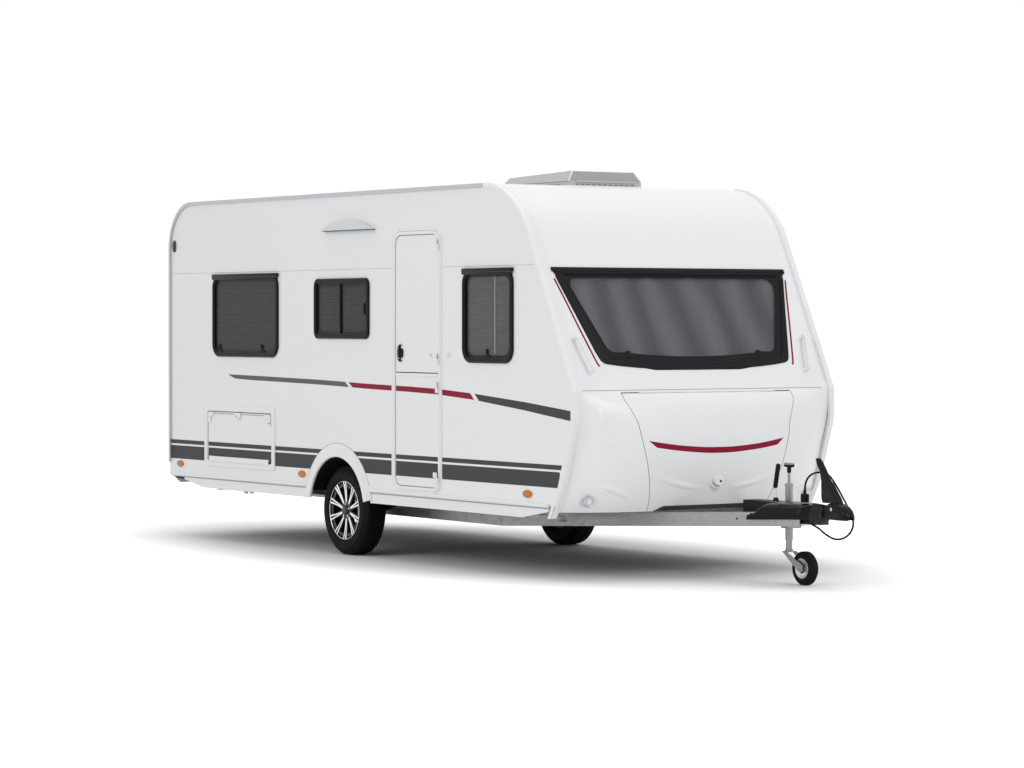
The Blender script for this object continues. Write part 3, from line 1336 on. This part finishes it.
KNOB = [(-0.0445, 0.006), (-0.043, 0.0092), (-0.036, 0.0105), (0.0, 0.0108), (0.036, 0.0105),
        (0.043, 0.0092), (0.0445, 0.006)]
KNOB_Z = 0.735


def add_gaiter():
    low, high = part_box("drawbar_bellows")
    x0, x1 = low[0], high[0]
    profile = [(x0, 0.03), (x0, 0.052)]
    for i in range(GAITER_FOLDS * 8 + 1):
        t = i / (GAITER_FOLDS * 8)
        wave = 0.5 - 0.5 * math.cos(2 * math.pi * GAITER_FOLDS * t)
        profile.append((x0 + 0.004 + (x1 - x0 - 0.008) * t, 0.0435 + 0.0161 * wave ** 0.8 - 0.006 * t * t))
    profile += [(x1, 0.04), (x1, 0.03)]
    turned_piece("gaiter", profile, about_x(0.0, 0.0, DRAWBAR_Z), 48, True, "gaiter", 60,
                 replaces="drawbar_bellows")


def power(value, exponent):
    return math.copysign(abs(value) ** exponent, value)


def hood(bm, stations, thick, keep=None):
    """Sheet over a row of open rounded sections of (place, half width, foot, top), given a thickness."""
    angles = [math.pi * k / HOOD_STEPS for k in range(HOOD_STEPS + 1)]
    section = [(-power(math.cos(a), 0.55), math.sin(a) ** 0.6) for a in angles]
    rows = [[bm.verts.new((from_axle(x), out * half, foot + (top - foot) * up)) for out, up in section]
            for x, half, foot, top in stations]
    for low, high in zip(rows, rows[1:]):
        for i in range(HOOD_STEPS):
            corners = (low[i], low[i + 1], high[i + 1], high[i])
            if keep is None or keep(sum((v.co for v in corners), Vector()) / 4):
                bm.faces.new(corners)
    drop_loose(bm)
    bmesh.ops.recalc_face_normals(bm, faces=bm.faces)
    bmesh.ops.solidify(bm, geom=bm.faces[:], thickness=thick)


def add_head():
    """Cast head: hood with a drooping nose, ball cup below and tube into the gaiter."""
    bm = bmesh.new()
    hood(bm, HEAD_STATIONS, 0.004)
    new_object("head_hood", bm, "gloss_black", 50, slot="dark_steel", replaces="coupling_head")
    bm = bmesh.new()
    turned(bm, [(0.433, 0.0262), (0.433, 0.033), (0.466, 0.033), (0.48, 0.02), (0.48, 0.0001),
                (0.474, 0.0001), (0.46, 0.0262)], about_z(from_axle(4.285), 0.0), 36, closed=False)
    tube(bm, [(from_axle(x), 0.0, DRAWBAR_Z) for x in (3.962, 4.15)], 0.027, 28)
    new_object("ball_cup", bm, "dark_steel", 50, replaces="coupling_head")
    turned_piece("head_pin", [(-0.047, 0.0001), (-0.047, 0.008), (-0.045, 0.0105), (0.045, 0.0105),
                              (0.047, 0.008), (0.047, 0.0001)],
                 about_y(from_axle(4.205), 0.0, 0.495), 24, False, "steel", 40)


def add_cover():
    """Moulded cover: flat rear flange, sloped rear, rounded top that narrows to the gaiter."""
    tube_at = Vector((from_axle(JOCKEY_X), JOCKEY_Y, 0.0))
    fine = [tuple(p + (q - p) * k / 3 for p, q in zip(low, high))
            for low, high in zip(COVER_STATIONS, COVER_STATIONS[1:]) for k in range(3)]
    bm = bmesh.new()
    hood(bm, fine + COVER_STATIONS[-1:], 0.003,
         lambda p: (Vector((p.x, p.y, 0.0)) - tube_at).length > TUBE_ROOM)
    new_object("cover_moulding", bm, "gloss_black", 50, replaces="drawbar_cover")
    edges, screws = bmesh.new(), bmesh.new()
    for sign in (-1, 1):
        tube(edges, [(from_axle(x), sign * (half + 0.001), foot + 0.0025)
                     for x, half, foot, _ in COVER_STATIONS], 0.004, 10)
        for x, half in ((3.615, 0.2145), (3.965, 0.1148)):
            turned(screws, SCREW, about_y(from_axle(x), sign * half, 0.444, sign), 16, closed=False)
    new_object("cover_edges", edges, "gloss_black", 50)
    new_object("cover_screws", screws, "steel", 40)


def add_arm_holes():
    """Bolt hole in the web of each drawbar arm, behind the cover."""
    bm = bmesh.new()
    for sign in (-1, 1):
        normal = Vector((0.2074, sign * 0.9783, 0.0))
        at = Vector((from_axle(3.502), sign * 0.2195, 0.4097))
        tube(bm, [at - normal * 0.003, at + normal * 0.001], 0.0075, 20)
    new_object("arm_holes", bm, "gap")


def add_handle():
    """Coupling handle: slim rounded grip that widens to its foot over the head."""
    rings = []
    for (xa, za), (xb, zb), half in HANDLE_STATIONS:
        a, b = Vector((from_axle(xa), 0.0, za)), Vector((from_axle(xb), 0.0, zb))
        rings.append([(a + b) / 2 + (b - a) / 2 * power(c, 0.62) + Vector((0.0, half * power(s, 0.62), 0.0))
                      for c, s in circle(28)])
    bm = bmesh.new()
    loft(bm, rings)
    new_object("handle_moulding", bm, "gloss_black", 50, replaces="coupling_handle")


def add_brake_lever():
    bm = bmesh.new()
    tube(bm, [(from_axle(x), LEVER_Y, z) for x, z in
              ((3.645, 0.518), (3.643, 0.54), (3.6395, 0.575), (3.637, 0.604))], 0.0088, 16)
    new_object("brake_rod", bm, "steel", 50, replaces="handbrake_lever")
    path, radii = [], []
    for t in [i / 40 for i in range(41)]:
        path.append((from_axle(3.637 + 0.033 * t), LEVER_Y, 0.6 + 0.152 * t))
        ease = min(1.0, 0.55 + t * 12, 0.45 + (1 - t) * 14)
        rib = 0.0006 * math.sin(t * 2 * math.pi * 9) if 0.15 < t < 0.85 else 0.0
        radii.append((0.0146 + rib) * ease)
    bm = bmesh.new()
    tube(bm, path, radii, 20)
    new_object("brake_grip", bm, "black_plastic", 60, replaces="handbrake_lever")
    turned_piece("brake_gaiter", [(0.5212, 0.01), (0.5212, 0.02), (0.529, 0.018), (0.542, 0.0115),
                                  (0.542, 0.0092)],
                 about_z(from_axle(3.644), LEVER_Y), 24, True, "rubber", 50)


def add_plug_details():
    """Grip rings round the parked plug."""
    low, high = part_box("connecting_plug")
    half = (high[0] - low[0]) / 2
    place = about_z((low[0] + high[0]) / 2, (low[1] + high[1]) / 2)
    bm = bmesh.new()
    for k in range(3):
        z = low[2] + 0.01 + 0.012 * k
        turned(bm, [(z, half - 0.003), (z + 0.002, half + 0.0022), (z + 0.005, half + 0.0022),
                    (z + 0.007, half - 0.003)], place, 28)
    new_object("plug_grips", bm, "gloss_black", 50)


def add_jockey_details():
    """Crank knob and zinc collar of the jockey tube, wall rings and rims of its wheel."""
    x, wx, wz = from_axle(JOCKEY_X), from_axle(JOCKEY_WHEEL_X), JOCKEY_WHEEL_Z
    place = about_z(x, JOCKEY_Y)
    bm = bmesh.new()
    tube(bm, [(x + along, JOCKEY_Y, KNOB_Z) for along, _ in KNOB], [radius for _, radius in KNOB], 18)
    turned(bm, [(0.69, 0.0101), (0.69, 0.0125), (0.722, 0.014), (0.732, 0.014), (0.732, 0.0101)], place, 24)
    new_object("crank_knob", bm, "black_plastic", 50, "jockey_outer")
    turned_piece("jockey_collar", [(0.6065, 0.0244), (0.6065, 0.0268), (0.62, 0.0268), (0.6235, 0.025),
                                   (0.6235, 0.0244)],
                 place, 36, True, "galvanised", 50, "jockey_outer")
    walls, rims = bmesh.new(), bmesh.new()
    for sign in (-1, 1):
        turned(walls, [(0.028, 0.064), (0.0293, 0.065), (0.0293, 0.08), (0.028, 0.083)],
               about_y(wx, JOCKEY_Y, wz, sign))
        turned(rims, [(0.0262, 0.03), (0.0262, 0.05), (0.0296, 0.0585), (0.0302, 0.062), (0.029, 0.0632),
                      (0.024, 0.06), (0.024, 0.03)], about_y(wx, JOCKEY_Y, wz, sign))
        for c, s in circle(6, 0.3):
            loft(rims, [[(wx + r * c - t * s, JOCKEY_Y + sign * w, wz + r * s + t * c) for t, w in
                         ((-0.0042, 0.001), (-0.003, top), (0.003, top), (0.0042, 0.001))]
                        for r, top in ((0.0225, 0.02), (0.04, 0.014), (0.059, 0.018))])
    new_object("jockey_wall_ring", walls, "tyre", 50, "jockey_wheel")
    new_object("jockey_rim_flange", rims, "steel", 40, "jockey_wheel")


add_gaiter()
add_arm_holes()
add_head()
add_handle()
add_brake_lever()
add_cover()
add_plug_details()
add_jockey_details()


# Roof hatch: tinted front face, pale corner beads, vent slots and the joint over the base

HATCH_X0, HATCH_X1 = 0.967, 1.767
HATCH_HALF = 0.295
LID_FOOT_Z, LID_TOP_Z, LID_REAR_Z = 2.566, 2.634, 2.612
LID_INSET = 0.045
VENT_Z0, VENT_Z1 = 2.543, 2.548
SEALANT_Z = 2.5335
SEALANT_OUT = 0.004


def add_roof_hatch():
    inner_half, side_half = HATCH_HALF - LID_INSET, HATCH_HALF + SEALANT_OUT
    rear, front = from_axle(HATCH_X0), from_axle(HATCH_X1)
    beads, vents, sealant = bmesh.new(), bmesh.new(), bmesh.new()
    for sign in (-1, 1):
        tube(beads, [(front, sign * HATCH_HALF, LID_FOOT_Z), (front - 0.0225, sign * inner_half, LID_TOP_Z),
                     (front - 0.09, sign * inner_half, LID_TOP_Z)], [0.004, 0.006, 0.004], 12)
        y = sign * HATCH_HALF
        box_part(vents, (rear, y - 0.0008, 2.561), (front, y + 0.0008, 2.5635))
        for x in [rear + 0.08 + 0.042 * k for k in range(15)]:
            box_part(vents, (x, y - 0.001, VENT_Z0), (x + 0.024, y + 0.001, VENT_Z1))
        end_x = front + SEALANT_OUT if sign > 0 else rear - SEALANT_OUT
        tube(sealant, [(x, sign * side_half, SEALANT_Z) for x in (rear - SEALANT_OUT, front + SEALANT_OUT)],
             0.0055, 10)
        tube(sealant, [(end_x, end_y, SEALANT_Z) for end_y in (-side_half, side_half)], 0.0055, 10)
    for y in [-0.24 + 0.045 * k for k in range(11)]:
        box_part(vents, (front - 0.001, y, VENT_Z0), (front + 0.001, y + 0.026, VENT_Z1))
    new_object("lid_corner_beads", beads, "white_plastic", 60, "roof_hatch_lid")
    new_object("hatch_vents", vents, "mid_grey", slot="grey_moulding")
    new_object("hatch_sealant", sealant, "white_plastic", 60)
    bm = bmesh.new()
    loft(bm, [[(x + out, y, z) for out, y in
               ((0.0002, -half), (0.0014, -half), (0.0014, half), (0.0002, half))]
              for z, x, half in ((LID_FOOT_Z + 0.004, front - 0.002, HATCH_HALF - 0.008),
                                 (LID_TOP_Z - 0.003, front - 0.0222, inner_half - 0.004))])
    new_object("lid_front_tint", bm, "hatch_grey", None, "roof_hatch_lid")
    # ribs across the lid's top
    bm = bmesh.new()
    for y in [-0.2 + 0.1 * k for k in range(5)]:
        loft(bm, [[(from_axle(x), y + a, z + up) for a, up in
                   ((-0.01, -0.004), (-0.006, 0.0018), (0.006, 0.0018), (0.01, -0.004))]
                  for x, z in ((1.06, LID_REAR_Z + 0.0016), (1.67, LID_TOP_Z - 0.001))])
    new_object("lid_ribs", bm, "grey_plastic", 50, "roof_hatch_lid")


add_roof_hatch()


# Lamps on the nose and at the rear, and the lid's lock

LOCK_Z = 0.622


def add_front_lamps():
    """Round lamp in each lower corner of the nose: rim and lens."""
    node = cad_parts["front_lamps"]
    points = [node.matrix_world @ v.co for v in node.data.vertices]
    for sign, side in SIDES:
        own = [p for p in points if p.y * sign > 0]
        low, high = [[pick(p[i] for p in own) for i in range(3)] for pick in (min, max)]
        radius = (high[2] - low[2]) / 2
        place = about_x(high[0], (low[1] + high[1]) / 2, (low[2] + high[2]) / 2)
        rim = [(-0.012, 0.0035), (-0.003, 0.0045), (0.0012, 0.0025), (0.0018, -0.002), (0.0004, -0.005),
               (-0.01, -0.005)]
        lens = [(-0.004, 0.0001), (0.003, 0.0001), (0.0028, radius * 0.35), (0.0018, radius * 0.62),
                (0.0004, radius - 0.006), (-0.004, radius - 0.006)]
        turned_piece(f"lamp_rim_{side}", [(w, radius + out) for w, out in rim], place, 40, True,
                     "rail", 40, slot="white_trim")
        turned_piece(f"lamp_lens_{side}", lens, place, 36, False, "white_lens", 60)


def add_rear_lamps():
    """Coloured fields of the rear lamps: tail and stop, indicator, reverse light."""
    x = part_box("rear_lamps")[0][0]
    for sign, side in SIDES:
        y0, y1 = sorted((sign * 0.856, sign * 0.964))
        for name, z0, z1, finish in (("indicator", 0.905, 1.03, "orange"),
                                     ("reverse", 0.79, 0.893, "white_lens"),
                                     ("tail", 0.63, 0.778, "red_lens")):
            outline = rounded_rect(y0, y1, z0, z1, 0.02, 6)
            bm = bmesh.new()
            plate(bm, outline, lambda u, v, w: (x - w, u, v), -0.004, 0.0022, 0.0018)
            new_object(f"rear_{name}_{side}", bm, finish, 50)


def add_lid_lock():
    """Raised dish and key cylinder round the lid's lock."""
    base = [on_front(y, z) for y, z in ((0.0, 0.68), (0.0, 0.566), (0.056, LOCK_Z), (-0.056, LOCK_Z))]
    x = sum(p.x for p in base) / 4
    ring = [(-0.008, 0.056), (0.004, 0.054), (0.0075, 0.049), (0.005, 0.043), (-0.006, 0.04)]
    key = [(-0.004, 0.0001), (0.0012, 0.0001), (0.0012, 0.0085), (-0.004, 0.009)]
    turned_piece("lid_lock_ring", ring, about_x(x, 0.0, LOCK_Z), 48, True, "front", 50, "gas_locker_lid")
    turned_piece("lid_lock_key", key, about_x(on_front(0.0, LOCK_Z).x, 0.01, LOCK_Z - 0.006), 24, False,
                 "dark_grey", 40, "gas_locker_lid", "galvanised")


add_front_lamps()
add_rear_lamps()
add_lid_lock()
